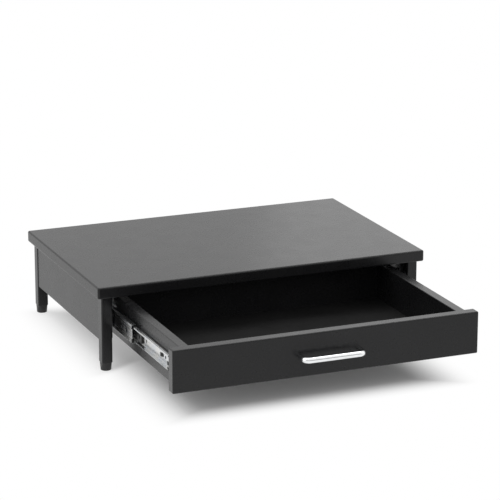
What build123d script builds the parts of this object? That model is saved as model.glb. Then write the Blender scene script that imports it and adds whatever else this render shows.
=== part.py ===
"""A low kitchen stand that lifts an appliance off the worktop, with one wide drawer on ball-bearing slides.

Millimetres. +X is the stand's right, -Y its front and +Z up. The origin is on the floor under the middle of
the top board. The drawer is drawn fully out. Right-hand pieces are drawn, and left-hand ones mirror them.
"""
import os

from build123d import *

# Top board
stand_height = 136.0
board_width = 550.0
board_depth = 350.0
board_thickness = 18.0
board_corner_radius = 3.0
board_edge_radius = 2.5

# Legs and feet
leg_side = 17.0
leg_corner_radius = 2.0
leg_inset = 8.0
foot_height = 13.0
foot_top_inset = 0.5
foot_corner_radius = 3.0
foot_pad_diameter = 16.6
foot_pad_flat = 0.4
foot_pad_height = 2.5
foot_pad_chamfer = 0.6
foot_recess_radius = 4.8
foot_recess_depth = 4.0

# Side and back panels
side_panel_thickness = 22.0
back_panel_thickness = 15.0
panel_setback = 1.0
panel_floor_gap = 46.0
panel_edge_radius = 1.2

# Drawer front and box
front_thickness = 16.0
front_side_gap = 3.0
front_top_gap = 10.0
front_floor_gap = 42.0
front_stop_gap = 1.0
front_edge_radius = 2.0
box_side_thickness = 15.0
box_floor_gap = 43.0
box_rear_gap = 12.0
box_edge_radius = 1.0
base_thickness = 3.0
base_rise = 4.0
base_groove_depth = 5.0
base_clearance = 0.1

# Handle
handle_spacing = 96.0
handle_rod_diameter = 9.0
handle_projection = 26.0
handle_drop = 1.0
handle_bend_radius = 9.0

# Slides: three nested channels with balls between them
slide_thickness = 12.7
slide_height = 37.0
slide_drop = 42.3
slide_setback = 23.5
slide_rear_inset = 15.5
slide_bend_radius = 1.8
outer_sheet = 1.2
outer_lip = 2.0
middle_sheet = 1.0
middle_lip = 1.6
middle_end_setback = 10.5
middle_tongue_reach = 4.0
middle_tongue_height = 16.0
inner_sheet = 1.2
inner_lip = 1.8
inner_window_offset = 5.5
inner_window_length = 14.0
inner_window_height = 6.0
inner_window_drop = 6.0
inner_tip_gap = 0.85
rail_step = 1.0
race_gap = 2.4
race_offset = 2.7
race_stagger = 2.5
ball_diameter = 3.0
ball_pitch = 12.0
ball_clearance = 0.05
cage_sheet = 0.5
cage_gap = 0.25
cage_hole_clearance = 0.15
cage_border = 0.6
cage_bridge = 6.0
cage_end_margin = 12.0
access_hole_diameter = 8.0
access_hole_offsets = (22.0, 41.0)
outer_screw_offset = 37.0
inner_screw_offset = 41.0
inner_slot_length = 16.0
inner_slot_width = 4.4
inner_hole_offsets = (26.0, 107.0)
inner_hole_diameter = 5.0

# Release levers that free the drawer from its slides
lever_reach = 27.0
lever_paddle_length = 23.0
lever_paddle_height = 17.0
lever_corner_radius = 2.0
lever_tail_length = 46.0
lever_tail_height = 6.5
lever_thickness = 2.6
lever_edge_radius = 0.6
lever_side_gap = 0.2
rivet_radius = 2.0
rivet_head_radius = 3.4
rivet_head_height = 0.9
pivot_clearance = 0.05

# Hidden fixings
fixing_clearance = 0.05
dowel_diameter = 8.0
dowel_length = 24.0
dowel_end_gap = 0.5
dowel_chamfer = 1.0
side_dowel_shares = (1 / 6, 2 / 3)
back_dowel_shares = (1 / 3, 1 / 2)
side_top_dowel_inset = 95.0
back_top_dowel_inset = 150.0
box_dowel_rise = 18.0
bracket_board_leg = 20.0
bracket_slide_gap = 3.0
bracket_width = 16.0
bracket_sheet = 2.0
bracket_bend_radius = 1.5
bracket_hole_margin = 7.0
side_bracket_inset = 45.0
back_bracket_inset = 90.0
cam_diameter = 15.0
cam_depth = 12.0
cam_drop = 18.0
cam_offset = 24.0
cam_slot_length = 9.0
cam_slot_width = 1.6
cam_slot_depth = 1.5
cam_bolt_radius = 3.0
cam_bolt_grip = 11.0
cam_bolt_neck_radius = 2.0
cam_bolt_neck_length = 5.0
cam_bolt_head_length = 4.0
cam_bore_clearance = 0.2

# Screws
wood_screw_radius = 1.75
wood_screw_length = 14.0
wood_head_radius = 3.4
wood_head_height = 2.0
back_screw_length = 35.0
back_screw_rise = 5.0
back_screw_drop = 10.0
base_screw_pitch = 150.0
foot_screw_length = 27.0
machine_screw_radius = 2.0
machine_screw_bite = 9.0
machine_head_radius = 4.0
machine_head_height = 2.6
head_taper = 1.0
drive_share = 0.6
drive_width = 0.9
drive_depth = 1.0
drill_overrun = 2.0

# The share of the drawer's way that a slide's middle rail makes
middle_share = 0.45

# Planes of the carcass
board_underside = stand_height - board_thickness
leg_outer_x = board_width / 2 - leg_inset
leg_outer_y = board_depth / 2 - leg_inset
leg_inner_x = leg_outer_x - leg_side
leg_inner_y = leg_outer_y - leg_side
leg_x = leg_outer_x - leg_side / 2
leg_y = leg_outer_y - leg_side / 2
panel_outer_x = leg_outer_x - panel_setback
panel_inner_x = panel_outer_x - side_panel_thickness
panel_mid_x = panel_outer_x - side_panel_thickness / 2
panel_height = board_underside - panel_floor_gap
back_rear_y = leg_outer_y - panel_setback
back_front_y = back_rear_y - back_panel_thickness
back_mid_y = back_rear_y - back_panel_thickness / 2

# Slides along the depth: they end short of the shut drawer's rear, and draw out by their own length
box_shut_rear_y = back_front_y - box_rear_gap
slide_front_y = -leg_inner_y + slide_setback
slide_length = box_shut_rear_y - slide_rear_inset - slide_front_y
drawer_open = slide_length

# Planes of the drawer, which shuts against the side panels' front edges
front_width = 2 * (leg_inner_x - front_side_gap)
front_top = board_underside - front_top_gap
front_height = front_top - front_floor_gap
handle_height = front_floor_gap + front_height / 2 - handle_drop
shut_back_y = -leg_inner_y - front_stop_gap
front_back_y = shut_back_y - drawer_open
front_face_y = front_back_y - front_thickness
box_outer_x = panel_inner_x - slide_thickness
box_inner_x = box_outer_x - box_side_thickness
box_side_x = box_outer_x - box_side_thickness / 2
box_length = box_shut_rear_y - shut_back_y
box_rear_y = front_back_y + box_length
box_mid_y = front_back_y + box_length / 2
box_back_y = box_rear_y - box_side_thickness / 2
box_height = front_top - box_floor_gap
base_low = box_floor_gap + base_rise
base_top = base_low + base_thickness
base_mid_height = base_low + base_thickness / 2
base_reach = box_inner_x + base_groove_depth
groove_height = base_thickness + 2 * base_clearance

# Slide members, measured from the side panel towards the drawer and from the slide's middle height
slide_centre_height = board_underside - slide_drop
outer_cage_start = outer_sheet + cage_gap
middle_start = outer_cage_start + cage_sheet + cage_gap
inner_cage_start = middle_start + middle_sheet + cage_gap
inner_start = inner_cage_start + cage_sheet + inner_tip_gap
inner_web = slide_thickness - inner_sheet
middle_end = inner_web - rail_step
outer_end = middle_end - rail_step
outer_race = middle_start + race_offset
inner_race = outer_race + race_stagger
outer_race_height = slide_height / 2 - outer_sheet - race_gap / 2
middle_height = 2 * (outer_race_height - race_gap / 2)
inner_race_height = middle_height / 2 - middle_sheet - race_gap / 2
inner_height = 2 * (inner_race_height - race_gap / 2)
race_radius = ball_diameter / 2 + ball_clearance
cage_hole_radius = ball_diameter / 2 + cage_hole_clearance

# Where the moving members stand with the drawer fully out. A ball cage fills most of what is left between the
# ends of the two rails that it runs between.
inner_front_y = slide_front_y - drawer_open
inner_rear_y = inner_front_y + slide_length
middle_front_y = slide_front_y + middle_end_setback - middle_share * drawer_open
middle_length = slide_length - 2 * middle_end_setback
middle_rear_y = middle_front_y + middle_length
outer_cage_front_y = slide_front_y + cage_end_margin
outer_cage_rear_y = middle_rear_y - cage_end_margin
inner_cage_front_y = middle_front_y + cage_end_margin
inner_cage_rear_y = inner_rear_y - cage_end_margin

# Levers and their rivets
lever_y = middle_front_y - lever_reach + lever_paddle_length / 2
lever_start = inner_web - lever_side_gap - lever_thickness
rivet_length = slide_thickness - lever_start + lever_side_gap

# Holes
dowel_hole_radius = dowel_diameter / 2 + fixing_clearance
dowel_hole_length = dowel_length + 2 * dowel_end_gap
cam_height = front_top - cam_drop
box_dowel_height = box_floor_gap + box_dowel_rise

both = (-1, 1)
ends = {"front": -1, "rear": 1}


def save(piece, name):
    """Labels a piece and writes it under its own name."""
    piece.label = name
    export_step(piece, f"parts/{name}.step")


def save_pair(piece, name):
    """Writes a right-hand piece, and its mirror image as the left-hand one."""
    save(piece, f"right_{name}")
    with BuildPart() as left:
        mirror(piece, about=Plane.YZ)
    save(left.part, f"left_{name}")


def seat(x, y, z, facing):
    """The plane that a fixing sits on, with its head on the side that it faces."""
    return Plane(origin=(x, y, z), z_dir=facing)


def screw(shank_radius, length, head_radius, head_height):
    """A screw along Z, seated at zero: a pan head stands above, and one with no height is countersunk."""
    if head_height:
        rim = head_radius - head_taper
        head = [(0, head_height), (rim, head_height), (head_radius, 0), (shank_radius, 0)]
    else:
        head = [(0, 0), (head_radius, 0), (shank_radius, shank_radius - head_radius)]
    with BuildPart() as piece:
        with BuildSketch(Plane.XZ):
            with BuildLine():
                Polyline(*head, (shank_radius, shank_radius - length), (0, -length), close=True)
            make_face()
        revolve(axis=Axis.Z)
        drive_length = drive_share * 2 * head_radius
        with Locations((0, 0, head_height)):
            Box(drive_length, drive_width, 2 * drive_depth, mode=Mode.SUBTRACT)
            Box(drive_width, drive_length, 2 * drive_depth, mode=Mode.SUBTRACT)
    return piece.part


def screw_hole(shank_radius, length, head_radius=0.0):
    """The hole for such a screw, with a countersink where a head radius is given."""
    bore = shank_radius + fixing_clearance
    low = -length - fixing_clearance
    wall = [(bore, fixing_clearance)]
    if head_radius:
        mouth = head_radius + fixing_clearance
        wall = [(mouth, fixing_clearance), (mouth, 0), (bore, bore - mouth)]
    with BuildPart() as hole:
        with BuildSketch(Plane.XZ):
            with BuildLine():
                Polyline((0, fixing_clearance), *wall, (bore, low), (0, low), close=True)
            make_face()
        revolve(axis=Axis.Z)
    return hole.part


def place(piece, seats):
    """A group of like pieces, one on each seat."""
    with BuildPart() as group:
        with Locations(*seats):
            add(piece)
    return group.part


def cut(tool, seats):
    """Takes a tool's shape out of the piece in hand at each seat."""
    with Locations(*seats):
        add(tool, mode=Mode.SUBTRACT)


os.makedirs("parts", exist_ok=True)

# Shapes of the fixings
wood_screw = screw(wood_screw_radius, wood_screw_length, wood_head_radius, wood_head_height)
wood_screw_hole = screw_hole(wood_screw_radius, wood_screw_length)
sunk_screw = screw(wood_screw_radius, wood_screw_length, wood_head_radius, 0)
sunk_screw_hole = screw_hole(wood_screw_radius, wood_screw_length, wood_head_radius)
back_screw = screw(wood_screw_radius, back_screw_length, wood_head_radius, 0)
back_screw_hole = screw_hole(wood_screw_radius, back_screw_length, wood_head_radius)
foot_screw = screw(wood_screw_radius, foot_screw_length, wood_head_radius, wood_head_height)
foot_screw_hole = screw_hole(wood_screw_radius, foot_screw_length)
machine_length = front_thickness + machine_screw_bite
machine_screw = screw(machine_screw_radius, machine_length, machine_head_radius, machine_head_height)
machine_screw_hole = screw_hole(machine_screw_radius, machine_length)

with BuildPart() as dowel:
    Cylinder(dowel_diameter / 2, dowel_length)
    chamfer(dowel.edges().filter_by(GeomType.CIRCLE), dowel_chamfer)

with BuildPart() as dowel_hole:
    Cylinder(dowel_hole_radius, dowel_hole_length)

# Dowels from the panels into the legs, and from all of these into the top board
side_dowel_heights = [panel_floor_gap + share * panel_height for share in side_dowel_shares]
back_dowel_heights = [panel_floor_gap + share * panel_height for share in back_dowel_shares]
panel_dowel_seats = [
    seat(side * leg_x, end * leg_inner_y, height, (0, 1, 0))
    for side in both
    for end in both
    for height in side_dowel_heights
] + [
    seat(side * leg_inner_x, back_mid_y, height, (1, 0, 0))
    for side in both
    for height in back_dowel_heights
]
side_top_dowel_y = leg_inner_y - side_top_dowel_inset
back_top_dowel_x = leg_inner_x - back_top_dowel_inset
top_dowel_points = [(side * leg_x, end * leg_y) for side in both for end in both]
top_dowel_points += [(side * panel_mid_x, end * side_top_dowel_y) for side in both for end in both]
top_dowel_points += [(side * back_top_dowel_x, back_mid_y) for side in both]
top_dowel_seats = [seat(x, y, board_underside, (0, 0, 1)) for x, y in top_dowel_points]

# Brackets in the corner under the board, clear of the slides, and a screw through each of their legs
bracket_wall_leg = slide_drop - slide_height / 2 - bracket_slide_gap
side_bracket_y = leg_inner_y - side_bracket_inset
back_bracket_x = leg_inner_x - back_bracket_inset
bracket_places = [
    Plane((side * panel_inner_x, end * side_bracket_y, board_underside), x_dir=(-side, 0, 0))
    for side in both
    for end in both
] + [Plane((side * back_bracket_x, back_front_y, board_underside), x_dir=(0, -1, 0)) for side in both]
bracket_wall_seat = seat(bracket_sheet, 0, bracket_hole_margin - bracket_wall_leg, (1, 0, 0))
bracket_board_seat = seat(bracket_board_leg - bracket_hole_margin, 0, -bracket_sheet, (0, 0, -1))
bracket_wall_seats = [spot.location * bracket_wall_seat.location for spot in bracket_places]
bracket_board_seats = [spot.location * bracket_board_seat.location for spot in bracket_places]

# Screws of the slides, feet, drawer and handle
outer_screw_ys = [
    slide_front_y + outer_screw_offset,
    slide_front_y + slide_length / 2,
    slide_front_y + slide_length - outer_screw_offset,
]
outer_screw_seats = [
    seat(side * (panel_inner_x - outer_sheet), y, slide_centre_height, (-side, 0, 0))
    for side in both
    for y in outer_screw_ys
]
inner_screw_ys = [inner_front_y + inner_screw_offset, inner_rear_y - inner_screw_offset]
inner_screw_seats = [
    seat(side * (panel_inner_x - inner_web), y, slide_centre_height, (side, 0, 0))
    for side in both
    for y in inner_screw_ys
]
rivet_seats = [seat(side * box_outer_x, lever_y, slide_centre_height, (side, 0, 0)) for side in both]
foot_screw_seats = [
    seat(side * leg_x, end * leg_y, foot_recess_depth, (0, 0, -1)) for side in both for end in both
]
back_screw_seats = [
    seat(side * box_outer_x, box_back_y, height, (side, 0, 0))
    for side in both
    for height in (base_top + back_screw_rise, front_top - back_screw_drop)
]
base_screw_seats = [
    seat(step * base_screw_pitch, box_back_y, base_low, (0, 0, -1)) for step in (-1, 0, 1)
]
handle_screw_seats = [
    seat(side * handle_spacing / 2, front_back_y, handle_height, (0, 1, 0)) for side in both
]
box_dowel_seats = [seat(side * box_side_x, front_back_y, box_dowel_height, (0, 1, 0)) for side in both]
cam_bolt_seats = [seat(side * box_side_x, front_back_y, cam_height, (0, -1, 0)) for side in both]
cam_seats = [
    Plane((side * box_inner_x, front_back_y + cam_offset, cam_height), x_dir=(0, -1, 0), z_dir=(-side, 0, 0))
    for side in both
]

# Top board
with BuildPart() as top_board:
    with BuildSketch(Plane.XY.offset(board_underside)):
        RectangleRounded(board_width, board_depth, board_corner_radius)
    extrude(amount=board_thickness)
    rims = top_board.edges().group_by(Axis.Z)
    fillet(rims[0] + rims[-1], board_edge_radius)
    cut(dowel_hole.part, top_dowel_seats)
    cut(wood_screw_hole, bracket_board_seats)
save(top_board.part, "top_board")

# Legs, and feet that go from the leg's square to a round pad
for end_name, end in ends.items():
    with BuildPart() as leg:
        with BuildSketch(Plane((leg_x, end * leg_y, foot_height))):
            RectangleRounded(leg_side, leg_side, leg_corner_radius)
        extrude(amount=board_underside - foot_height)
        cut(dowel_hole.part, panel_dowel_seats + top_dowel_seats)
        cut(foot_screw_hole, foot_screw_seats)
    save_pair(leg.part, f"{end_name}_leg")

    pad_radius = (foot_pad_diameter - foot_pad_flat) / 2
    foot_top = leg_side - 2 * foot_top_inset
    with BuildPart() as foot:
        with BuildSketch(Plane((leg_x, end * leg_y, 0))):
            RectangleRounded(foot_pad_diameter, foot_pad_diameter, pad_radius)
        extrude(amount=foot_pad_height)
        chamfer(foot.edges().group_by(Axis.Z)[0], foot_pad_chamfer)
        with BuildSketch(Plane((leg_x, end * leg_y, foot_pad_height))):
            RectangleRounded(foot_pad_diameter, foot_pad_diameter, pad_radius)
        with BuildSketch(Plane((leg_x, end * leg_y, foot_height))):
            RectangleRounded(foot_top, foot_top, foot_corner_radius)
        loft()
        with Locations((leg_x, end * leg_y, foot_recess_depth / 2)):
            Cylinder(foot_recess_radius, foot_recess_depth, mode=Mode.SUBTRACT)
        cut(foot_screw_hole, foot_screw_seats)
    save_pair(foot.part, f"{end_name}_foot")

save(place(foot_screw, foot_screw_seats), "foot_screws")

# Side panels between the legs
with BuildPart() as side_panel:
    with BuildSketch(Plane((panel_mid_x, 0, panel_floor_gap))):
        Rectangle(side_panel_thickness, 2 * leg_inner_y)
    extrude(amount=panel_height)
    bottom_edges = side_panel.edges().filter_by(Axis.Y).group_by(Axis.Z)[0]
    outer_edges = side_panel.edges().filter_by(Axis.Z).group_by(Axis.X)[-1]
    fillet(bottom_edges + outer_edges, panel_edge_radius)
    cut(dowel_hole.part, panel_dowel_seats + top_dowel_seats)
    cut(wood_screw_hole, bracket_wall_seats)
    cut(sunk_screw_hole, outer_screw_seats)
save_pair(side_panel.part, "side_panel")

# Back panel between the rear legs
with BuildPart() as back_panel:
    with BuildSketch(Plane((0, back_mid_y, panel_floor_gap))):
        Rectangle(2 * leg_inner_x, back_panel_thickness)
    extrude(amount=panel_height)
    fillet(back_panel.edges().filter_by(Axis.X).group_by(Axis.Z)[0], panel_edge_radius)
    cut(dowel_hole.part, panel_dowel_seats + top_dowel_seats)
    cut(wood_screw_hole, bracket_wall_seats)
save(back_panel.part, "back_panel")

save(place(dowel.part, panel_dowel_seats), "panel_dowels")
save(place(dowel.part, top_dowel_seats), "top_dowels")

# Steel brackets that hold the board down
with BuildPart() as bracket:
    with BuildSketch(Plane.XZ):
        with BuildLine():
            Polyline(
                (0, 0),
                (bracket_board_leg, 0),
                (bracket_board_leg, -bracket_sheet),
                (bracket_sheet, -bracket_sheet),
                (bracket_sheet, -bracket_wall_leg),
                (0, -bracket_wall_leg),
                close=True,
            )
        make_face()
    extrude(amount=bracket_width / 2, both=True)
    bend = bracket.edges().filter_by(Axis.Y).sort_by_distance((bracket_sheet, 0, -bracket_sheet))[0]
    fillet(bend, bracket_bend_radius)
    cut(wood_screw_hole, [bracket_wall_seat, bracket_board_seat])
save(place(bracket.part, bracket_places), "top_brackets")
save(place(wood_screw, bracket_wall_seats + bracket_board_seats), "bracket_screws")


def rail_plane(y):
    """A slide's section plane: X from the side panel to the drawer, Y up and the normal rearwards."""
    return Plane(origin=(panel_inner_x, y, slide_centre_height), x_dir=(-1, 0, 0), z_dir=(0, 1, 0))


def web_plane(reach, y):
    """A plane on a slide's web: its X runs forwards, its Y up and its normal towards the drawer."""
    return Plane(origin=(panel_inner_x - reach, y, slide_centre_height), x_dir=(0, -1, 0), z_dir=(-1, 0, 0))


def channel(start, end, height, sheet, lip, mouth, races):
    """Draws a channel's section: a rounded box, open at the mouth between two lips, with ball grooves."""
    with Locations(((start + end) / 2, 0)):
        RectangleRounded(end - start, height, slide_bend_radius)
        RectangleRounded(
            end - start - 2 * sheet, height - 2 * sheet, slide_bend_radius - sheet, mode=Mode.SUBTRACT
        )
    with Locations((mouth, 0)):
        Rectangle(2 * sheet, height - 2 * lip, mode=Mode.SUBTRACT)
    with Locations(*[(reach, up * rise) for reach, rise in races for up in both]):
        Circle(race_radius, mode=Mode.SUBTRACT)


def web_holes(reach, sheet, ys, diameter):
    """Drills round holes through a slide's web."""
    with Locations(*[web_plane(reach, y) for y in ys]):
        Cylinder(diameter / 2, 2 * (sheet + drill_overrun), mode=Mode.SUBTRACT)


outer_races = [(outer_race, outer_race_height)]
inner_races = [(inner_race, inner_race_height)]

# Outer rails, on the side panels
with BuildPart() as outer_rail:
    with BuildSketch(rail_plane(slide_front_y)):
        channel(0, outer_end, slide_height, outer_sheet, outer_lip, outer_end, outer_races)
    extrude(amount=slide_length)
    cut(sunk_screw_hole, outer_screw_seats)
save_pair(outer_rail.part, "slide_outer_rail")
save(place(sunk_screw, outer_screw_seats), "slide_panel_screws")

# Middle rails, with a rounded tongue in front and screwdriver holes near both ends
with BuildPart() as middle_rail:
    with BuildSketch(rail_plane(middle_front_y)):
        all_races = outer_races + inner_races
        channel(middle_start, middle_end, middle_height, middle_sheet, middle_lip, middle_end, all_races)
    extrude(amount=middle_length)
    with BuildSketch(web_plane(middle_start, middle_front_y)):
        Ellipse(middle_tongue_reach, middle_tongue_height / 2)
    extrude(amount=middle_sheet)
    front_holes = [middle_front_y + offset for offset in access_hole_offsets]
    rear_holes = [middle_rear_y - offset for offset in access_hole_offsets]
    web_holes(middle_start, middle_sheet, front_holes + rear_holes, access_hole_diameter)
save_pair(middle_rail.part, "slide_middle_rail")

# Inner rails, on the drawer, with a window near the front, a slot for each screw and two spare holes
with BuildPart() as inner_rail:
    with BuildSketch(rail_plane(inner_front_y)):
        channel(inner_start, slide_thickness, inner_height, inner_sheet, inner_lip, inner_start, inner_races)
    extrude(amount=slide_length)
    window_y = inner_front_y + inner_window_offset + inner_window_length / 2
    with BuildSketch(web_plane(inner_web, window_y)):
        with Locations((0, -inner_window_drop)):
            Rectangle(inner_window_length, inner_window_height)
    extrude(amount=inner_sheet, mode=Mode.SUBTRACT)
    web_holes(inner_web, inner_sheet, [lever_y], 2 * (rivet_radius + fixing_clearance))
    spare_holes = [inner_front_y + offset for offset in inner_hole_offsets]
    web_holes(inner_web, inner_sheet, spare_holes, inner_hole_diameter)
    for slot_y in inner_screw_ys:
        with BuildSketch(web_plane(inner_web, slot_y)):
            SlotOverall(inner_slot_length, inner_slot_width)
        extrude(amount=inner_sheet, mode=Mode.SUBTRACT)
save_pair(inner_rail.part, "slide_inner_rail")
save(place(wood_screw, inner_screw_seats), "slide_drawer_screws")


def ball_points(reach, rise, front_y, rear_y):
    """Evenly spaced ball centres in an upper and a lower row, about the middle of a cage."""
    count = int((rear_y - front_y - ball_pitch) // ball_pitch) + 1
    first_y = (front_y + rear_y - (count - 1) * ball_pitch) / 2
    return [
        (panel_inner_x - reach, first_y + index * ball_pitch, slide_centre_height + up * rise)
        for up in both
        for index in range(count)
    ]


def make_cage(name, start, reach, rise, front_y, rear_y):
    """A bent strip with a hole round each ball and a window in its web, and the balls that it carries."""
    tip = reach + cage_hole_radius + cage_border
    points = ball_points(reach, rise, front_y, rear_y)
    length = rear_y - front_y
    with BuildPart() as cage:
        with BuildSketch(rail_plane(front_y)):
            with Locations(((start + tip) / 2, 0)):
                Rectangle(tip - start, 2 * rise + cage_sheet)
            with Locations(((start + tip) / 2 + cage_sheet, 0)):
                Rectangle(tip - start, 2 * rise - cage_sheet, mode=Mode.SUBTRACT)
        extrude(amount=length)
        with BuildSketch(web_plane(start, front_y + length / 2)):
            Rectangle(length - 2 * cage_bridge, 2 * rise - cage_sheet)
        extrude(amount=cage_sheet, mode=Mode.SUBTRACT)
        with Locations(*points):
            Cylinder(cage_hole_radius, 2 * (cage_sheet + drill_overrun), mode=Mode.SUBTRACT)
    save_pair(cage.part, f"slide_{name}_cage")
    with BuildPart() as balls:
        with Locations(*points):
            Sphere(ball_diameter / 2)
    save_pair(balls.part, f"slide_{name}_balls")


make_cage("outer", outer_cage_start, outer_race, outer_race_height, outer_cage_front_y, outer_cage_rear_y)
make_cage("inner", inner_cage_start, inner_race, inner_race_height, inner_cage_front_y, inner_cage_rear_y)

# Release levers on the inner rails: a paddle that turns on its rivet, and a tail behind it
with BuildPart() as lever:
    with BuildSketch(web_plane(lever_start, lever_y)):
        RectangleRounded(lever_paddle_length, lever_paddle_height, lever_corner_radius)
        with Locations((-lever_tail_length / 2, 0)):
            SlotOverall(lever_tail_length, lever_tail_height)
    extrude(amount=lever_thickness)
    fillet(lever.faces().sort_by(Axis.X)[-1].edges(), lever_edge_radius)
    web_holes(lever_start, lever_thickness, [lever_y], 2 * (rivet_radius + pivot_clearance))
save_pair(lever.part, "release_lever")

with BuildPart() as rivet:
    with Locations((0, 0, rivet_length / 2)):
        Cylinder(rivet_radius, rivet_length)
    with Locations((0, 0, rivet_length + rivet_head_height / 2)):
        Cylinder(rivet_head_radius, rivet_head_height)
save(place(rivet.part, rivet_seats), "lever_rivets")

# Drawer front, grooved for the base, with sharp edges only behind, where the drawer's sides meet it
with BuildPart() as drawer_front:
    with BuildSketch(Plane((0, front_face_y + front_thickness / 2, front_floor_gap))):
        Rectangle(front_width, front_thickness)
    extrude(amount=front_height)
    fillet(drawer_front.edges() - drawer_front.edges().group_by(Axis.Y)[-1], front_edge_radius)
    with Locations((0, front_back_y, base_mid_height)):
        Box(2 * base_reach, 2 * base_groove_depth, groove_height, mode=Mode.SUBTRACT)
    cut(machine_screw_hole, handle_screw_seats)
    cut(dowel_hole.part, box_dowel_seats)
    with Locations(*cam_bolt_seats):
        Cylinder(cam_bolt_radius + fixing_clearance, 2 * (cam_bolt_grip + dowel_end_gap), mode=Mode.SUBTRACT)
save(drawer_front.part, "drawer_front")

# Drawer sides, grooved for the base and bored for the cams and their bolts
with BuildPart() as box_side:
    with BuildSketch(Plane((box_side_x, box_mid_y, box_floor_gap))):
        Rectangle(box_side_thickness, box_length)
    extrude(amount=box_height)
    fillet(box_side.edges().filter_by(Axis.Y).group_by(Axis.Z)[-1], box_edge_radius)
    with Locations((box_inner_x, box_mid_y, base_mid_height)):
        Box(2 * base_groove_depth, box_length, groove_height, mode=Mode.SUBTRACT)
    cut(dowel_hole.part, box_dowel_seats)
    cut(wood_screw_hole, inner_screw_seats)
    cut(back_screw_hole, back_screw_seats)
    with Locations(*cam_seats):
        Cylinder(cam_diameter / 2 + fixing_clearance, 2 * (cam_depth + fixing_clearance), mode=Mode.SUBTRACT)
    with Locations(*cam_bolt_seats):
        Cylinder(cam_bolt_radius + cam_bore_clearance, 2 * cam_offset, mode=Mode.SUBTRACT)
save_pair(box_side.part, "drawer_side")

# Drawer back, standing on the base
with BuildPart() as drawer_back:
    with BuildSketch(Plane((0, box_back_y, base_top))):
        Rectangle(2 * box_inner_x, box_side_thickness)
    extrude(amount=front_top - base_top)
    fillet(drawer_back.edges().filter_by(Axis.X).group_by(Axis.Z)[-1], box_edge_radius)
    cut(back_screw_hole, back_screw_seats)
    cut(wood_screw_hole, base_screw_seats)
save(drawer_back.part, "drawer_back")
save(place(back_screw, back_screw_seats), "drawer_back_screws")

# Drawer base, in the grooves and screwed up into the back
base_front_y = front_back_y - base_groove_depth + base_clearance
with BuildPart() as drawer_base:
    with BuildSketch(Plane((0, (base_front_y + box_rear_y) / 2, base_low))):
        Rectangle(2 * (base_reach - base_clearance), box_rear_y - base_front_y)
    extrude(amount=base_thickness)
    cut(wood_screw_hole, base_screw_seats)
save(drawer_base.part, "drawer_base")
save(place(wood_screw, base_screw_seats), "drawer_base_screws")

# Cams and cam bolts that pull the drawer's sides against its front, and a dowel beside each
with BuildPart() as cam:
    with Locations((0, 0, -cam_depth / 2)):
        Cylinder(cam_diameter / 2, cam_depth)
    Box(cam_slot_length, cam_slot_width, 2 * cam_slot_depth, mode=Mode.SUBTRACT)
    Box(cam_slot_width, cam_slot_length, 2 * cam_slot_depth, mode=Mode.SUBTRACT)
    with Locations(seat(-cam_bolt_head_length, 0, -box_side_thickness / 2, (1, 0, 0))):
        Cylinder(
            cam_bolt_radius + cam_bore_clearance,
            cam_diameter,
            align=(Align.CENTER, Align.CENTER, Align.MIN),
            mode=Mode.SUBTRACT,
        )
save(place(cam.part, cam_seats), "drawer_cams")

cam_bolt_end = cam_offset + cam_bolt_head_length / 2
cam_bolt_neck_end = cam_bolt_end - cam_bolt_head_length
cam_bolt_neck_start = cam_bolt_neck_end - cam_bolt_neck_length
with BuildPart() as cam_bolt:
    with BuildSketch(Plane.XZ):
        with BuildLine():
            Polyline(
                (0, cam_bolt_grip),
                (cam_bolt_radius, cam_bolt_grip),
                (cam_bolt_radius, -cam_bolt_neck_start),
                (cam_bolt_neck_radius, -cam_bolt_neck_start),
                (cam_bolt_neck_radius, -cam_bolt_neck_end),
                (cam_bolt_radius, -cam_bolt_neck_end),
                (cam_bolt_radius, -cam_bolt_end),
                (0, -cam_bolt_end),
                close=True,
            )
        make_face()
    revolve(axis=Axis.Z)
save(place(cam_bolt.part, cam_bolt_seats), "drawer_cam_bolts")
save(place(dowel.part, box_dowel_seats), "drawer_dowels")

# Handle: one bent rod, screwed on from inside the drawer
handle_y = front_face_y - handle_projection + handle_rod_diameter / 2
handle_half = handle_spacing / 2
with BuildPart() as handle:
    with BuildLine():
        FilletPolyline(
            (-handle_half, front_face_y, handle_height),
            (-handle_half, handle_y, handle_height),
            (handle_half, handle_y, handle_height),
            (handle_half, front_face_y, handle_height),
            radius=handle_bend_radius,
        )
    with BuildSketch(seat(-handle_half, front_face_y, handle_height, (0, -1, 0))):
        Circle(handle_rod_diameter / 2)
    sweep()
    cut(machine_screw_hole, handle_screw_seats)
save(handle.part, "handle")
save(place(machine_screw, handle_screw_seats), "handle_screws")
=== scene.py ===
"""Finishes, handle and studio for a low black kitchen stand with one drawer, laid out as an add-on.

The packed stand is loaded as a fixed frame in metres: X to the right, Y to the back and Z up, with the
origin on the floor under the middle of the top board. The boards, legs, slides and fixings keep their
packed shapes and get node materials here. The chrome handle is worked out again as a smooth surface.
"""
import math

import bpy
import numpy as np
from bpy.props import FloatProperty, FloatVectorProperty, PointerProperty
from bpy.types import Operator, Panel, PropertyGroup
from mathutils import Matrix, Vector


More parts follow.
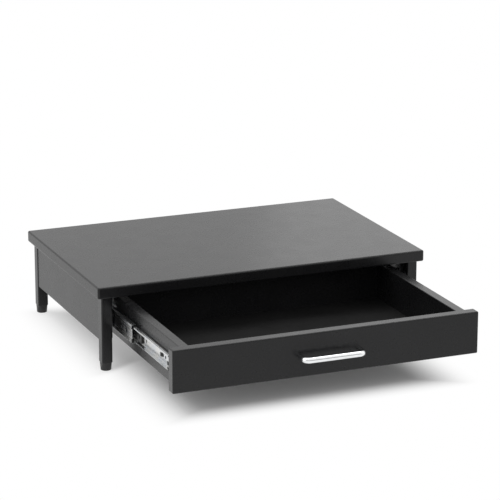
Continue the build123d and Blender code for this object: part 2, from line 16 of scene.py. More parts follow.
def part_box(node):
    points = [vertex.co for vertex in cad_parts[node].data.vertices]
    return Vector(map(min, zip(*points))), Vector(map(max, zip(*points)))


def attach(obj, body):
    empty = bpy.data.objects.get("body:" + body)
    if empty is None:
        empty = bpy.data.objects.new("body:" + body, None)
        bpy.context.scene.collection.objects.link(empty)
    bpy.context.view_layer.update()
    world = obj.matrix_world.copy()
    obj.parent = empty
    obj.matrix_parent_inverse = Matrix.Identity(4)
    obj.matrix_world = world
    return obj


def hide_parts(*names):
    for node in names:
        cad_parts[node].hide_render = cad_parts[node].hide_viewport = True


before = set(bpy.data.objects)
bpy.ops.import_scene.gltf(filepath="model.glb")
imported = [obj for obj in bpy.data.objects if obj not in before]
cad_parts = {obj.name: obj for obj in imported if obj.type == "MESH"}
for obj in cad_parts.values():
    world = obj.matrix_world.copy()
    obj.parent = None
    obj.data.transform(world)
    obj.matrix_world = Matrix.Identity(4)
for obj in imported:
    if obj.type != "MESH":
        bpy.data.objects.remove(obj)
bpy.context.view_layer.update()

bl_info = {
    "name": "Kitchen stand with a drawer",
    "version": (1, 0, 0),
    "blender": (4, 5, 0),
    "location": "View3D > Sidebar > Stand",
    "description": "Finishes, handle and studio for a low kitchen stand with one drawer",
    "category": "Object",
}

# Units, in metres
MM = 0.001
MICRON = 0.000001

# Camera
PICTURE_PIXELS = 500
SENSOR_MM = 36.0
CLIP_END = 100.0

# Packed nodes by kind
SIDES = ("left", "right")
STAND_BOARDS = ("top_board", "left_side_panel", "right_side_panel", "back_panel")
DRAWER_BOARDS = ("drawer_front", "left_drawer_side", "right_drawer_side", "drawer_back")
STRIPPED_BOARDS = ("drawer_front",)
LEGS = tuple(f"{side}_{end}_leg" for side in SIDES for end in ("front", "rear"))
FEET = tuple(f"{side}_{end}_foot" for side in SIDES for end in ("front", "rear"))
RAILS = tuple(f"{side}_slide_{part}_rail" for side in SIDES for part in ("outer", "middle", "inner"))
CAGES = tuple(f"{side}_slide_{part}_cage" for side in SIDES for part in ("outer", "inner"))
BALLS = tuple(f"{side}_slide_{part}_balls" for side in SIDES for part in ("outer", "inner"))
LEVERS = tuple(f"{side}_release_lever" for side in SIDES)
ZINC_SCREWS = (
    "handle_screws",
    "foot_screws",
    "bracket_screws",
    "slide_panel_screws",
    "drawer_back_screws",
    "drawer_base_screws",
)
BLACK_FIXINGS = ("slide_drawer_screws", "lever_rivets")
CAM_FIXINGS = ("drawer_cams", "drawer_cam_bolts")
DOWELS = ("panel_dowels", "top_dowels", "drawer_dowels")

# Sockets of a Mix node that carry colours
MIX_FIRST, MIX_SECOND, MIX_RESULT = 6, 7, 2

# Materials
WHITE = (1.0, 1.0, 1.0, 1.0)
LEAST_ROUGHNESS = 0.02
COOL_TONE = (0.97, 0.99, 1.02)
WARM_TONE = (1.02, 1.0, 0.96)

# Handle mesh
TUBE_SIDES = 48
BEND_STEPS = 25
RUN_STEPS = 9
SHARP_DEGREES = 40.0

# Floor mesh, a little below the feet
FLOOR_STEPS = 3
FLOOR_DROP = 0.2 * MM

# Y on the floor between which a painted glow lightens the shadow more, from under the drawer to under the
# stand
PAINTED_GLOW_RISE = (-0.28, -0.01)

# Dim band in the studio's front, for mirrors: the Y of a direction between which it fades out, the height of
# its middle, and how far from that height it fades out
BAND_FRONT = (-0.75, -0.35)
BAND_HEIGHT = 0.16
BAND_REACH = (0.09, 0.27)

# Lamps: place, width and height, and the setting that holds the power
LAMP_TARGET = (0.0, -0.12, 0.06)
LAMPS = {
    "top_lamp": ((0.0, 0.1, 2.1), (2.4, 0.8), "top_power"),
    "left_lamp": ((-2.0, -0.6, 1.3), (1.5, 1.5), "left_power"),
    "right_lamp": ((1.8, -1.4, 1.5), (1.5, 1.5), "right_power"),
    "back_lamp": ((1.1, 1.3, 0.68), (0.9, 0.7), "back_power"),
}

handle_low, handle_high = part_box("handle")


def colour_setting(name, description, default):
    """A colour that the user may change."""
    return FloatVectorProperty(
        name=name, description=description, default=default, subtype="COLOR", size=3, min=0.0, max=1.0
    )


def length_setting(name, description, default):
    """A length in metres that the user may change."""
    return FloatProperty(name=name, description=description, default=default, min=0.0, unit="LENGTH")


def share_setting(name, description, default):
    """A share between none and all that the user may change."""
    return FloatProperty(
        name=name, description=description, default=default, min=0.0, max=1.0, subtype="FACTOR"
    )


def angle_setting(name, description, degrees):
    """An angle that the user may change; its default is given in degrees."""
    return FloatProperty(
        name=name, description=description, default=math.radians(degrees), unit="ROTATION"
    )


def power_setting(name, description, default):
    """A lamp's power that the user may change."""
    return FloatProperty(name=name, description=description, default=default, min=0.0, unit="POWER")


def pixel_setting(name, description, default):
    """A length or place in the picture's pixels that the user may change."""
    return FloatProperty(name=name, description=description, default=default, min=0.0, subtype="PIXEL")


class BoardSettings(PropertyGroup):
    """Finish of the boards, the drawer's base and the legs."""

    foil_colour: colour_setting("Foil", "Black foil on the boards", (0.008, 0.008, 0.0085))
    foil_roughness: share_setting("Foil roughness", "How matt the foil is", 0.27)
    foil_shine: share_setting("Foil shine", "How strongly the foil and the legs' paint mirror", 0.30)
    strip_shine: share_setting("Strip shine", "How strongly the drawer front's end strips mirror", 0.60)
    strip_depth: length_setting("Strip depth", "How far a strip reaches in from the front's ends", 0.0006)
    # The lighter edge colour stands partly for rubbed wear and partly for a painted highlight along the edges
    edge_wear_and_highlight_colour: colour_setting("Rubbed edge", "Where the foil is rubbed at an edge", (0.022, 0.022, 0.023))
    edge_width: length_setting("Edge width", "How far the rubbed strip reaches in from an edge", 0.0012)
    pore_size: length_setting("Pore size", "Size of the foil's fine pores", 0.0007)
    pore_share: share_setting("Pore share", "How clearly the foil's pores show", 0.2)
    base_colour: colour_setting("Drawer base", "Painted hardboard of the base", (0.007, 0.007, 0.007))
    leg_colour: colour_setting("Leg paint", "Black paint on the wooden legs", (0.008, 0.008, 0.0085))
    leg_roughness: share_setting("Leg roughness", "How matt the legs' paint is", 0.20)
    foot_colour: colour_setting("Foot", "Moulded plastic of the feet", (0.01, 0.01, 0.0105))
    foot_roughness: share_setting("Foot roughness", "How matt the feet are", 0.46)


class SlideSettings(PropertyGroup):
    """Finish of the drawer slides."""

    zinc_colour: colour_setting("Zinc", "Bright zinc plating of the rails", (0.70, 0.71, 0.72))
    zinc_roughness: share_setting("Zinc roughness", "How matt the plating is", 0.23)
    cage_colour: colour_setting("Cage strip", "Steel strip of the ball cages", (0.55, 0.55, 0.56))
    cage_roughness: share_setting("Cage roughness", "How matt the cages are", 0.34)
    ball_colour: colour_setting("Balls", "Polished steel of the balls", (0.78, 0.78, 0.79))
    ball_roughness: share_setting("Ball roughness", "How matt the balls are", 0.10)
    lever_colour: colour_setting("Release lever", "Moulded plastic of the levers", (0.012, 0.012, 0.012))
    lever_roughness: share_setting("Lever roughness", "How matt the levers are", 0.40)


class FixingSettings(PropertyGroup):
    """Finish of the screws, brackets, cams and dowels."""

    screw_colour: colour_setting("Zinc screws", "Zinc-plated screws", (0.68, 0.68, 0.68))
    screw_roughness: share_setting("Screw roughness", "How matt the zinc screws are", 0.30)
    black_colour: colour_setting("Black fixings", "Blackened slide screws and rivets", (0.03, 0.03, 0.03))
    bracket_colour: colour_setting("Brackets", "Galvanised sheet of the brackets", (0.62, 0.63, 0.64))
    cam_colour: colour_setting("Cams", "Die-cast zinc of the cams and their bolts", (0.58, 0.58, 0.57))
    cam_roughness: share_setting("Cam roughness", "How matt the cams are", 0.40)
    dowel_colour: colour_setting("Dowels", "Beech of the dowels", (0.62, 0.45, 0.27))


class HandleSettings(PropertyGroup):
    """Shape and finish of the bow handle."""

    rod: length_setting("Rod", "Thickness of the round rod", handle_high.z - handle_low.z)
    bend: length_setting("Bend", "Radius of the bends at the rod's middle line", 0.009)
    chrome_colour: colour_setting("Chrome", "Colour of the chrome plating", (0.86, 0.87, 0.88))
    chrome_roughness: share_setting("Chrome roughness", "How matt the chrome is", 0.06)


class StageSettings(PropertyGroup):
    """Floor, light and camera."""

    floor_colour: colour_setting("Floor", "Pale floor under the stand", (0.92, 0.92, 0.92))
    floor_reach: length_setting("Floor reach", "Half the floor's side", 9.0)
    # The settings below shape a painted glow on the floor: a white emission that lightens the shadow round
    # the stand
    fade_inside: length_setting("Fade inside", "How far inside the outline the white starts", 0.044)
    fade_outside: length_setting("Fade outside", "How far outside the outline the white is full", 0.026)
    side_fade: FloatProperty(
        name="Side fade", description="How many times wider the fade is at the sides", default=1.5, min=1.0
    )
    shadow_painted_glow: share_setting("Shadow white", "White share in the shadow under the drawer's front", 0.06)
    rear_painted_glow: share_setting("Rear white", "White share in the shadow under the stand", 0.35)
    shadow_pull: length_setting("Shadow pull", "How far the shadow stays short of the right side", 0.03)
    ambient: FloatProperty(
        name="Ambient", description="Plain light from all round on matt surfaces", default=0.72, min=0.0
    )
    front_dim: share_setting("Front dimming", "Brightness of the studio's open front in mirrors", 0.26)
    top_power: power_setting("Top lamp", "Power of the soft lamp above", 16.0)
    left_power: power_setting("Left lamp", "Power of the soft lamp on the left", 7.0)
    right_power: power_setting("Right lamp", "Power of the soft lamp on the right", 7.0)
    back_power: power_setting("Back lamp", "Power of the soft lamp behind on the right", 0.76)
    focal_pixels: pixel_setting("Focal length", "Focal length in the picture's pixels", 2466.581)
    azimuth: angle_setting("Azimuth", "Turn of the view round the stand from straight in front", -22.634)
    elevation: angle_setting("Elevation", "Height of the view above the floor's plane", 16.196)
    roll: angle_setting("Roll", "Turn of the picture about the line of sight", 0.104)
    distance: length_setting("Distance", "Depth of the origin in front of the camera", 4.02566)
    origin_column: pixel_setting("Origin column", "Column where the origin is seen", 223.285)
    origin_row: pixel_setting("Origin row", "Row where the origin is seen", 320.426)


class Nodes:
    """A node tree being put together."""

    def __init__(self, tree):
        self.tree = tree
        self.tree.nodes.clear()

    def add(self, kind, inputs=None, **options):
        """Adds a node; an input that is another node's output is linked, and any other value is set."""
        node = self.tree.nodes.new(kind)
        for option, value in options.items():
            setattr(node, option, value)
        for socket, value in (inputs or {}).items():
            self.feed(node, socket, value)
        return node

    def feed(self, node, socket, value):
        """Links or sets one input of a node."""
        if isinstance(value, bpy.types.NodeSocket):
            self.tree.links.new(value, node.inputs[socket])
        else:
            node.inputs[socket].default_value = value

    def count(self, operation, first, second=0.0):
        """One step of arithmetic on patterns."""
        return self.add("ShaderNodeMath", {0: first, 1: second}, operation=operation).outputs["Value"]

    def sweep(self, operation, first, second=(0.0, 0.0, 0.0)):
        """One step of arithmetic on places."""
        inputs = {0: first, 1: second}
        return self.add("ShaderNodeVectorMath", inputs, operation=operation).outputs["Vector"]

    def spread(self, value, low, high, start=0.3, end=0.7):
        """Carries a pattern's range from start to end over to the range from low to high, smoothly."""
        inputs = {"Value": value, "From Min": start, "From Max": end, "To Min": low, "To Max": high}
        node = self.add("ShaderNodeMapRange", inputs, interpolation_type="SMOOTHSTEP")
        return node.outputs["Result"]

    def depth_in_box(self, place, low, high):
        """How far a place lies behind each pair of a box's faces, as three numbers, negative outside."""
        middle = tuple((a + b) / 2 for a, b in zip(low, high))
        half = tuple((b - a) / 2 for a, b in zip(low, high))
        away = self.sweep("ABSOLUTE", self.sweep("SUBTRACT", place, middle))
        depth = self.sweep("SUBTRACT", half, away)
        return self.add("ShaderNodeSeparateXYZ", {"Vector": depth}).outputs

    def seen_ray(self):
        """1 for rays that show a surface directly, in a mirror or through glass, and 0 for plain light."""
        rays = self.add("ShaderNodeLightPath").outputs
        mirrored = self.count("MAXIMUM", rays["Is Glossy Ray"], rays["Is Transmission Ray"])
        return self.count("MAXIMUM", rays["Is Camera Ray"], mirrored)


class Finish(Nodes):
    """A node material: its shader, and the patterns in Object coordinates that feed it."""

    def __init__(self, name, metallic=0.0, specular=0.5):
        self.material = bpy.data.materials.new(name)
        self.material.use_nodes = True
        super().__init__(self.material.node_tree)
        inputs = {"Metallic": metallic, "Specular IOR Level": specular}
        self.shader = self.add("ShaderNodeBsdfPrincipled", inputs)
        self.add("ShaderNodeOutputMaterial", {"Surface": self.shader.outputs["BSDF"]})
        self.place = self.add("ShaderNodeTexCoord").outputs["Object"]

    def stretched(self, lengths):
        """Object coordinates divided by a length on each axis, so a pattern of size 1 has those lengths."""
        scale = tuple(1.0 / length for length in lengths)
        return self.add("ShaderNodeMapping", {"Vector": self.place, "Scale": scale}).outputs["Vector"]

    def noise(self, size, detail=3.0, rough=0.55):
        """Soft random pattern between 0 and 1; size is its grain in metres, one length or one per axis."""
        lengths = (size,) * 3 if isinstance(size, float) else size
        inputs = {"Vector": self.stretched(lengths), "Scale": 1.0, "Detail": detail, "Roughness": rough}
        return self.add("ShaderNodeTexNoise", inputs).outputs["Fac"]

    def cells(self, size, output="Distance"):
        """Random cells of a size in metres: the distance from the cell's middle, or the cell's colour."""
        inputs = {"Vector": self.stretched((size,) * 3), "Scale": 1.0}
        return self.add("ShaderNodeTexVoronoi", inputs).outputs[output]

    def tint(self, factor, first, second):
        """Goes from the first colour to the second as the factor goes from 0 to 1."""
        node = self.add("ShaderNodeMix", {"Factor": factor}, data_type="RGBA")
        self.feed(node, MIX_FIRST, first)
        self.feed(node, MIX_SECOND, second)
        return node.outputs[MIX_RESULT]

    def mottle(self, pattern, colour, dark, light):
        """A colour that a pattern carries from a darker to a lighter tone, given as factors."""
        return self.tint(self.spread(pattern, 0.0, 1.0), shade(colour, dark), shade(colour, light))

    def around(self, pattern, middle, below, above):
        """A roughness that a pattern carries from a little below a middle value to a little above it."""
        return self.spread(pattern, max(LEAST_ROUGHNESS, middle - below), middle + above)

    def relief(self, *heights):
        """Raises the surface by patterns, each given with its height in metres, one bump on another."""
        normal = None
        for pattern, height in heights:
            inputs = {"Height": pattern, "Distance": height, "Strength": 1.0}
            if normal is not None:
                inputs["Normal"] = normal
            normal = self.add("ShaderNodeBump", inputs).outputs["Normal"]
        self.feed(self.shader, "Normal", normal)

    def edge_of(self, node, width):
        """1 on the edges of a box-shaped node and 0 beyond width from them.

        The distance to an edge is the middle one of the three distances to the box's faces."""
        parts = self.depth_in_box(self.place, *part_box(node))
        nearer = self.count("MINIMUM", parts["X"], parts["Y"])
        further = self.count("MAXIMUM", parts["X"], parts["Y"])
        distance = self.count("MAXIMUM", nearer, self.count("MINIMUM", further, parts["Z"]))
        return self.spread(distance, low=1.0, high=0.0, start=0.0, end=width)

    def end_strips(self, node, width, strip, plain):
        """Shines as a strip does on a node's left and right ends, and plainly beyond width from them."""
        inwards = self.depth_in_box(self.place, *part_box(node))["X"]
        shine = self.spread(inwards, strip, plain, start=0.0, end=width)
        self.feed(self.shader, "Specular IOR Level", shine)

    def finish(self, colour, roughness):
        """Feeds the shader's colour and roughness, and gives the material."""
        self.feed(self.shader, "Base Color", colour)
        self.feed(self.shader, "Roughness", roughness)
        return self.material


def shade(colour, factor=1.0):
    """A colour made lighter or darker by a factor, with full alpha."""
    return tuple(min(1.0, channel * factor) for channel in colour) + (1.0,)


def toned(colour, tone):
    """A colour with each channel multiplied by a tone's."""
    return tuple(channel * part for channel, part in zip(colour, tone))


def dress(material, *nodes):
    """Puts a material on every material slot of the named packed nodes."""
    for name in nodes:
        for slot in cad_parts[name].material_slots:
            slot.material = material


def foil(node, settings):
    """Black foil on one board: fine pores, slow changes of gloss, and edges lighter from wear and a painted
    highlight.
    """
    finish = Finish(f"foil_{node}", specular=settings.foil_shine)
    pores = finish.noise(settings.pore_size, detail=4.0, rough=0.6)
    clouds = finish.noise(70 * MM)
    smears = finish.noise(35 * MM, detail=4.0, rough=0.6)
    speckle = finish.count("MULTIPLY", finish.spread(pores, 0.0, 1.0), settings.pore_share)
    rubbed = finish.spread(smears, low=0.15, high=0.7)
    # Lighter edge strip: partly rubbed wear, partly a painted edge highlight
    wear_and_highlight = finish.count("MULTIPLY", finish.edge_of(node, settings.edge_width), rubbed)
    colour = finish.mottle(clouds, settings.foil_colour, dark=0.9, light=1.12)
    colour = finish.tint(speckle, colour, shade(settings.foil_colour, factor=1.8))
    colour = finish.tint(wear_and_highlight, colour, shade(settings.edge_wear_and_highlight_colour))
    finish.relief((clouds, 30 * MICRON), (pores, 12 * MICRON))
    if node in STRIPPED_BOARDS:
        finish.end_strips(node, settings.strip_depth, settings.strip_shine, settings.foil_shine)
    return finish.finish(colour, finish.around(smears, settings.foil_roughness, below=0.012, above=0.014))


def hardboard(settings):
    """Painted hardboard: felted fibres that show through a thin dull coat."""
    finish = Finish("painted_hardboard", specular=0.25)
    fibres = finish.noise((4 * MM, 1.2 * MM, 4 * MM), detail=5.0, rough=0.7)
    clouds = finish.noise(50 * MM)
    colour = finish.mottle(fibres, settings.base_colour, dark=0.75, light=1.4)
    finish.relief((fibres, 60 * MICRON))
    return finish.finish(colour, finish.spread(clouds, low=0.55, high=0.68))


def leg_paint(node, settings):
    """Black paint on a wooden leg: faint grain along it, and corners lighter from wear and a painted
    highlight.
    """
    finish = Finish(f"paint_{node}", specular=settings.foil_shine)
    grain = finish.noise((1.2 * MM, 1.2 * MM, 45 * MM), detail=4.0, rough=0.6)
    clouds = finish.noise(30 * MM)
    rubbed = finish.spread(clouds, low=0.1, high=0.6)
    # Lighter corners: partly rubbed wear, partly a painted edge highlight
    wear_and_highlight = finish.count("MULTIPLY", finish.edge_of(node, settings.edge_width), rubbed)
    colour = finish.mottle(grain, settings.leg_colour, dark=0.8, light=1.3)
    colour = finish.tint(wear_and_highlight, colour, shade(settings.edge_wear_and_highlight_colour))
    finish.relief((grain, 10 * MICRON))
    return finish.finish(colour, finish.around(clouds, settings.leg_roughness, below=0.04, above=0.05))


def moulded_plastic(name, base, dull):
    """Moulded plastic: a fine even stipple and slow changes of gloss."""
    finish = Finish(name)
    stipple = finish.cells(0.9 * MM)
    clouds = finish.noise(12 * MM)
    finish.relief((stipple, 50 * MICRON))
    colour = finish.mottle(clouds, base, dark=0.8, light=1.3)
    return finish.finish(colour, finish.around(clouds, dull, below=0.06, above=0.08))


def rolled_zinc(settings):
    """Zinc on rolled strip: streaks along the rail and faint clouds of warmer and cooler plating."""
    finish = Finish("rolled_zinc", metallic=1.0)
    streaks = finish.noise((0.8 * MM, 50 * MM, 0.8 * MM), detail=4.0, rough=0.6)
    clouds = finish.noise(18 * MM)
    cool = shade(toned(settings.zinc_colour, COOL_TONE), factor=0.96)
    warm = shade(toned(settings.zinc_colour, WARM_TONE))
    colour = finish.tint(finish.spread(clouds, 0.0, 1.0), cool, warm)
    dull = shade(settings.zinc_colour, factor=0.75)
    colour = finish.tint(finish.spread(streaks, low=0.0, high=0.15), colour, dull)
    finish.relief((streaks, 6 * MICRON))
    return finish.finish(colour, finish.around(streaks, settings.zinc_roughness, below=0.05, above=0.05))


def bright_steel(name, base, dull, grain):
    """Plated or polished steel: a fine grain and a slightly uneven shine."""
    finish = Finish(name, metallic=1.0)
    specks = finish.noise(grain, detail=4.0, rough=0.6)
    clouds = finish.noise(6 * MM)
    finish.relief((specks, 20 * MICRON))
    colour = finish.mottle(clouds, base, dark=0.88, light=1.06)
    return finish.finish(colour, finish.around(specks, dull, below=0.06, above=0.08))


def galvanised(settings):
    """Galvanised sheet: flakes of zinc crystals, each a little lighter or darker than the next."""
    finish = Finish("galvanised", metallic=1.0)
    flakes = finish.cells(6 * MM, "Color")
    specks = finish.noise(0.6 * MM)
    flake = finish.add("ShaderNodeSeparateColor", {"Color": flakes}).outputs["Red"]
    dark = shade(settings.bracket_colour, factor=0.8)
    light = shade(settings.bracket_colour, factor=1.12)
    colour = finish.tint(flake, dark, light)
    finish.relief((specks, 30 * MICRON))
    return finish.finish(colour, finish.spread(flake, low=0.28, high=0.44, start=0.0, end=1.0))


def black_steel(settings):
    """Blackened steel: a thin uneven oxide."""
    finish = Finish("blackened_steel", metallic=0.6)
    specks = finish.noise(0.5 * MM, detail=4.0)
    finish.relief((specks, 30 * MICRON))
    colour = finish.mottle(specks, settings.black_colour, dark=0.6, light=1.8)
    return finish.finish(colour, finish.spread(specks, low=0.32, high=0.5))


def beech(settings):
    """Beech: short darker flecks and a slow change of tone."""
    finish = Finish("beech")
    flecks = finish.noise(0.6 * MM, detail=4.0, rough=0.65)
    clouds = finish.noise(8 * MM)
    colour = finish.mottle(clouds, settings.dowel_colour, dark=0.85, light=1.08)
    dark = shade(settings.dowel_colour, factor=0.55)
    colour = finish.tint(finish.spread(flecks, low=0.0, high=0.5), colour, dark)
    finish.relief((flecks, 80 * MICRON))
    return finish.finish(colour, finish.spread(flecks, low=0.55, high=0.72))


def chrome(settings):
    """Chrome plating: hair-fine polishing lines along the rod and a slightly uneven shine."""
    finish = Finish("chrome_plating", metallic=1.0)
    hairs = finish.noise((30 * MM, 0.4 * MM, 0.4 * MM))
    clouds = finish.noise(10 * MM)
    finish.relief((hairs, 4 * MICRON))
    colour = finish.mottle(clouds, settings.chrome_colour, dark=0.95, light=1.02)
    return finish.finish(colour, finish.around(hairs, settings.chrome_roughness, below=0.03, above=0.04))


def tube_grid(points, tangents, up, radius):
    """A circle carried along a flat path, as a grid of points with one ring for each path point.

    A ring's point is the path point plus radius times (cos a times the path's own side direction, which is
    the tangent crossed with up, plus sin a times up)."""
    turn = np.linspace(0.0, 2.0 * np.pi, TUBE_SIDES, endpoint=False)
    across = np.cross(tangents, up)
    ring = np.cos(turn)[None, :, None] * across[:, None, :] + np.sin(turn)[None, :, None] * up
    return points[:, None, :] + radius * ring


def closed_tube_mesh(name, grid):
    """A mesh from a grid of rings: a quad between each four neighbours, rings closed, a face on each end."""
    rings, sides = grid.shape[:2]
    number = np.arange(rings * sides).reshape(rings, sides)
    beside = np.roll(number, -1, axis=1)
    quads = np.stack((number[:-1], number[1:], beside[1:], beside[:-1]), axis=-1).reshape(-1, 4)
    faces = quads.tolist() + [number[0].tolist(), number[-1, ::-1].tolist()]
    mesh = bpy.data.meshes.new(name)
    mesh.from_pydata(grid.reshape(-1, 3).tolist(), [], faces)
    mesh.shade_smooth()
    mesh.set_sharp_from_angle(angle=math.radians(SHARP_DEGREES))
    return mesh


def bow_path(width, front, bar, level, bend):
    """Middle line of a bow handle and its tangents: out from the front, round a bend, along the bar and back.

    The bends are quarter circles, and the straight runs are divided evenly between them."""
    half = width / 2.0
    quarter = np.linspace(0.0, np.pi / 2.0, BEND_STEPS)[1:]
    run = np.linspace(0.0, 1.0, RUN_STEPS)
    out_y = front + (bar + bend - front) * run
    along_x = (half - bend) * (2.0 * run - 1.0)
    still, whole = np.zeros_like(run), np.ones_like(run)
    x = np.concatenate((
        -half * whole,
        bend - half - bend * np.cos(quarter),
        along_x[1:],
        half - bend + bend * np.sin(quarter),
        half * whole[1:],
    ))
    y = np.concatenate((
        out_y,
        bar + bend - bend * np.sin(quarter),
        bar * whole[1:],
        bar + bend - bend * np.cos(quarter),
        out_y[::-1][1:],
    ))
    tangent_x = np.concatenate((still, np.sin(quarter), whole[1:], np.cos(quarter), still[1:]))
    tangent_y = np.concatenate((-whole, -np.cos(quarter), still[1:], np.sin(quarter), whole[1:]))
    points = np.stack((x, y, np.full_like(x, level)), axis=-1)
    tangents = np.stack((tangent_x, tangent_y, np.zeros_like(x)), axis=-1)
    return points, tangents


def show(name, mesh):
    """Makes an object at the origin for a mesh that is already in place."""
    piece = bpy.data.objects.new(name, mesh)
    bpy.context.scene.collection.objects.link(piece)
    return piece


class STAND_OT_boards(Operator):
    """Covers the boards of the stand and the drawer with black foil"""

    bl_idname = "stand.boards"
    bl_label = "Boards"

    def execute(self, context):
        settings = context.scene.stand_boards
        for node in STAND_BOARDS + DRAWER_BOARDS:
            dress(foil(node, settings), node)
        dress(hardboard(settings), "drawer_base")
        return {"FINISHED"}


class STAND_OT_legs(Operator):
    """Paints the legs and gives the feet their plastic"""

    bl_idname = "stand.legs"
    bl_label = "Legs and feet"

    def execute(self, context):
        settings = context.scene.stand_boards
        for node in LEGS:
            dress(leg_paint(node, settings), node)
        dress(moulded_plastic("foot_plastic", settings.foot_colour, settings.foot_roughness), *FEET)
        return {"FINISHED"}


class STAND_OT_slides(Operator):
    """Finishes the rails, cages, balls and release levers of both slides"""

    bl_idname = "stand.slides"
    bl_label = "Slides"

    def execute(self, context):
        settings = context.scene.stand_slides
        cage = bright_steel("cage_strip", settings.cage_colour, settings.cage_roughness, grain=0.8 * MM)
        ball = bright_steel("polished_balls", settings.ball_colour, settings.ball_roughness, grain=0.4 * MM)
        dress(rolled_zinc(settings), *RAILS)
        dress(cage, *CAGES)
        dress(ball, *BALLS)
        dress(moulded_plastic("lever_plastic", settings.lever_colour, settings.lever_roughness), *LEVERS)
        return {"FINISHED"}


class STAND_OT_fixings(Operator):
    """Finishes the screws, brackets, cams and dowels"""

    bl_idname = "stand.fixings"
    bl_label = "Fixings"

    def execute(self, context):
        settings = context.scene.stand_fixings
        screw = bright_steel("screw_zinc", settings.screw_colour, settings.screw_roughness, grain=0.5 * MM)
        cam = bright_steel("die_cast_zinc", settings.cam_colour, settings.cam_roughness, grain=0.6 * MM)
        dress(screw, *ZINC_SCREWS)
        dress(black_steel(settings), *BLACK_FIXINGS)
        dress(galvanised(settings), "top_brackets")
        dress(cam, *CAM_FIXINGS)
        dress(beech(settings), *DOWELS)
        return {"FINISHED"}


class STAND_OT_handle(Operator):
    """Makes the chrome bow handle on the drawer front"""

    bl_idname = "stand.handle"
    bl_label = "Handle"

    def execute(self, context):
        settings = context.scene.stand_handle
        radius = settings.rod / 2.0
        width = handle_high.x - handle_low.x - settings.rod
        level = (handle_low.z + handle_high.z) / 2.0
        bar = handle_low.y + radius
        points, tangents = bow_path(width, handle_high.y, bar, level, settings.bend)
        grid = tube_grid(points, tangents, np.array((0.0, 0.0, 1.0)), radius)
        handle = show("bow_handle", closed_tube_mesh("bow_handle", grid))
        handle.data.materials.append(chrome(settings))
        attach(handle, "drawer")
        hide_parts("handle")
        return {"FINISHED"}


def outline_reach(floor, place, low, high, side_fade):
    """Distance of a floor place from an oblong outline, negative inside, divided by side_fade sideways."""
    depth = floor.depth_in_box(place, low, high)
    depths = (floor.count("DIVIDE", depth["X"], side_fade), depth["Y"])
    inside = floor.count("MAXIMUM", floor.count("MINIMUM", *depths), 0.0)
    beyond = [floor.count("MINIMUM", side, 0.0) for side in depths]
    squares = [floor.count("MULTIPLY", side, side) for side in beyond]
    outside = floor.count("SQRT", floor.count("ADD", *squares))
    return floor.count("SUBTRACT", outside, inside)


def pale_floor(settings):
    """Pale matt floor with a painted glow: the render's own shadow stays under the stand, and a white
    emission painted over the floor turns it to plain white away from it.

    The painted glow's share rises with the distance from the drawer's or the board's outline on the floor,
    whichever is nearer, from inside it outwards. In the middle of the shadow the painted glow rises from the
    front to the rear, lightening the shadow under the stand."""
    material = bpy.data.materials.new("pale_floor")
    material.use_nodes = True
    floor = Nodes(material.node_tree)
    matt = floor.add("ShaderNodeBsdfDiffuse", {"Color": shade(settings.floor_colour)})
    # This emission is a painted glow, not a lamp; it lightens the floor's shadow and whitens the floor beyond
    # it
    white = floor.add("ShaderNodeEmission")
    place = floor.add("ShaderNodeTexCoord").outputs["Object"]
    front_low, front_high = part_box("drawer_front")
    board_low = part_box("top_board")[0]
    rear = (front_high.x - settings.shadow_pull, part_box("back_panel")[1].y, 0.0)
    drawer = outline_reach(floor, place, (front_low.x, front_low.y, 0.0), rear, settings.side_fade)
    stand = outline_reach(floor, place, (board_low.x, board_low.y, 0.0), rear, settings.side_fade)
    reach = floor.count("MINIMUM", drawer, stand)
    along = floor.add("ShaderNodeSeparateXYZ", {"Vector": place}).outputs["Y"]
    painted_glow_in_shadow = floor.spread(along, settings.shadow_painted_glow, settings.rear_painted_glow, *PAINTED_GLOW_RISE)
    share = floor.spread(reach, painted_glow_in_shadow, 1.0, -settings.fade_inside, settings.fade_outside)
    mix = floor.add("ShaderNodeMixShader", {
        0: floor.count("MULTIPLY", share, floor.seen_ray()),
        1: matt.outputs["BSDF"],
        2: white.outputs["Emission"],
    })
    floor.add("ShaderNodeOutputMaterial", {"Surface": mix.outputs["Shader"]})
    return material


def white_world(settings):
    """White where it is seen, a plain even light on matt surfaces, and a dimmer band in front for mirrors.

    The band is where the direction points forwards and its height is near the band's own."""
    world = bpy.data.worlds.new("studio")
    world.use_nodes = True
    sky = Nodes(world.node_tree)
    rays = sky.add("ShaderNodeLightPath").outputs
    direction = sky.add("ShaderNodeTexCoord").outputs["Generated"]
    way = sky.add("ShaderNodeSeparateXYZ", {"Vector": direction}).outputs
    forwards = sky.spread(way["Y"], 1.0, 0.0, *BAND_FRONT)
    away = sky.count("ABSOLUTE", sky.count("SUBTRACT", way["Z"], BAND_HEIGHT))
    band = sky.count("MULTIPLY", forwards, sky.spread(away, 1.0, 0.0, *BAND_REACH))
    dimming = sky.spread(band, low=1.0, high=settings.front_dim, start=0.0, end=1.0)
    soft = sky.add("ShaderNodeBackground", {"Color": WHITE, "Strength": settings.ambient})
    white = sky.add("ShaderNodeBackground", {"Color": WHITE, "Strength": 1.0})
    dim = sky.add("ShaderNodeBackground", {"Color": WHITE, "Strength": dimming})
    plain = sky.add("ShaderNodeMixShader", {
        0: sky.count("MAXIMUM", rays["Is Camera Ray"], rays["Is Transmission Ray"]),
        1: soft.outputs["Background"],
        2: white.outputs["Background"],
    })
    mix = sky.add("ShaderNodeMixShader", {
        0: rays["Is Glossy Ray"],
        1: plain.outputs["Shader"],
        2: dim.outputs["Background"],
    })
    sky.add("ShaderNodeOutputWorld", {"Surface": mix.outputs["Shader"]})
    return world


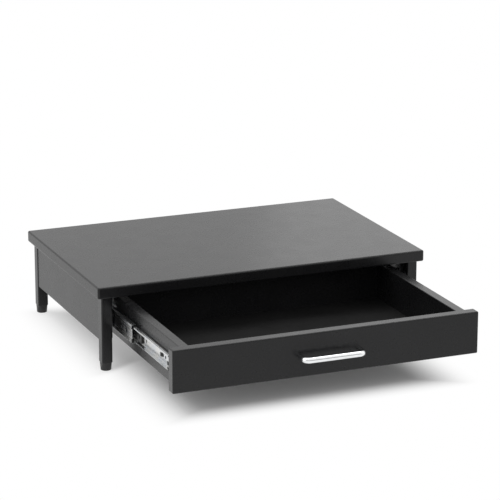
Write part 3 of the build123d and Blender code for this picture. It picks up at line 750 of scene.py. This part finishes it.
def soft_lamp(name, place, sides, power):
    """An oblong soft lamp that looks at the stand."""
    lamp = bpy.data.lights.new(name, "AREA")
    lamp.shape = "RECTANGLE"
    lamp.size, lamp.size_y = sides
    lamp.energy = power
    lamp_object = bpy.data.objects.new(name, lamp)
    lamp_object.location = place
    lamp_object.rotation_euler = (Vector(LAMP_TARGET) - Vector(place)).to_track_quat("-Z", "Y").to_euler()
    bpy.context.scene.collection.objects.link(lamp_object)


def picture_camera(settings):
    """A camera that sees the origin at the given pixel and depth, from the given angles.

    The rows of the view's turn are right, up and back; back points from the stand to the camera. The origin
    in the camera's own axes is found from its pixel and depth, and the camera stands at its opposite."""
    azimuth, elevation, roll = settings.azimuth, settings.elevation, settings.roll
    back = Vector((
        math.sin(azimuth) * math.cos(elevation),
        -math.cos(azimuth) * math.cos(elevation),
        math.sin(elevation),
    ))
    level = Vector((math.cos(azimuth), math.sin(azimuth), 0.0))
    upright = back.cross(level)
    right = math.cos(roll) * level + math.sin(roll) * upright
    up = math.cos(roll) * upright - math.sin(roll) * level
    per_pixel = settings.distance / settings.focal_pixels
    across = (settings.origin_column - PICTURE_PIXELS / 2) * per_pixel
    above = (PICTURE_PIXELS / 2 - settings.origin_row) * per_pixel
    place = back * settings.distance - right * across - up * above
    lens = bpy.data.cameras.new("picture_camera")
    lens.sensor_width = SENSOR_MM
    lens.lens = settings.focal_pixels / PICTURE_PIXELS * SENSOR_MM
    lens.clip_end = CLIP_END
    camera = bpy.data.objects.new("picture_camera", lens)
    camera.matrix_world = Matrix.Translation(place) @ Matrix((right, up, back)).transposed().to_4x4()
    bpy.context.scene.collection.objects.link(camera)
    bpy.context.scene.camera = camera


class STAND_OT_stage(Operator):
    """Lays the floor, sets the lamps and stands the camera at the picture's angle"""

    bl_idname = "stand.stage"
    bl_label = "Floor, light and camera"

    def execute(self, context):
        settings = context.scene.stand_stage
        steps = np.linspace(-settings.floor_reach, settings.floor_reach, FLOOR_STEPS)
        x, y = np.meshgrid(steps, steps)
        corners = np.stack((x, y, np.full_like(x, -FLOOR_DROP)), axis=-1).reshape(-1, 3)
        number = np.arange(FLOOR_STEPS * FLOOR_STEPS).reshape(FLOOR_STEPS, FLOOR_STEPS)
        quads = np.stack((number[:-1, :-1], number[:-1, 1:], number[1:, 1:], number[1:, :-1]), axis=-1)
        mesh = bpy.data.meshes.new("floor")
        mesh.from_pydata(corners.tolist(), [], quads.reshape(-1, 4).tolist())
        floor = show("floor", mesh)
        floor.data.materials.append(pale_floor(settings))
        context.scene.world = white_world(settings)
        for name, (place, sides, power) in LAMPS.items():
            soft_lamp(name, place, sides, getattr(settings, power))
        context.scene.view_settings.view_transform = "Standard"
        picture_camera(settings)
        return {"FINISHED"}


STEPS = (STAND_OT_boards, STAND_OT_legs, STAND_OT_slides, STAND_OT_fixings, STAND_OT_handle, STAND_OT_stage)
SETTINGS = {
    "stand_boards": BoardSettings,
    "stand_slides": SlideSettings,
    "stand_fixings": FixingSettings,
    "stand_handle": HandleSettings,
    "stand_stage": StageSettings,
}


class STAND_PT_panel(Panel):
    """Lists the steps and the settings"""

    bl_idname = "STAND_PT_panel"
    bl_label = "Kitchen stand"
    bl_space_type = "VIEW_3D"
    bl_region_type = "UI"
    bl_category = "Stand"

    def draw(self, context):
        for step in STEPS:
            self.layout.operator(step.bl_idname)
        for group, kind in SETTINGS.items():
            box = self.layout.box()
            box.label(text=kind.__doc__)
            for setting in kind.__annotations__:
                box.prop(getattr(context.scene, group), setting)


def register():
    """Makes the settings, steps and panel known."""
    for kind in (*SETTINGS.values(), *STEPS, STAND_PT_panel):
        bpy.utils.register_class(kind)
    for group, kind in SETTINGS.items():
        setattr(bpy.types.Scene, group, PointerProperty(type=kind))


def unregister():
    """Takes the settings, steps and panel away again."""
    for group in SETTINGS:
        delattr(bpy.types.Scene, group)
    for kind in reversed((*SETTINGS.values(), *STEPS, STAND_PT_panel)):
        bpy.utils.unregister_class(kind)


def main():
    """Runs every step in order."""
    register()
    bpy.ops.stand.boards()
    bpy.ops.stand.legs()
    bpy.ops.stand.slides()
    bpy.ops.stand.fixings()
    bpy.ops.stand.handle()
    bpy.ops.stand.stage()
    bpy.context.view_layer.update()


if __name__ == "__main__":
    main()
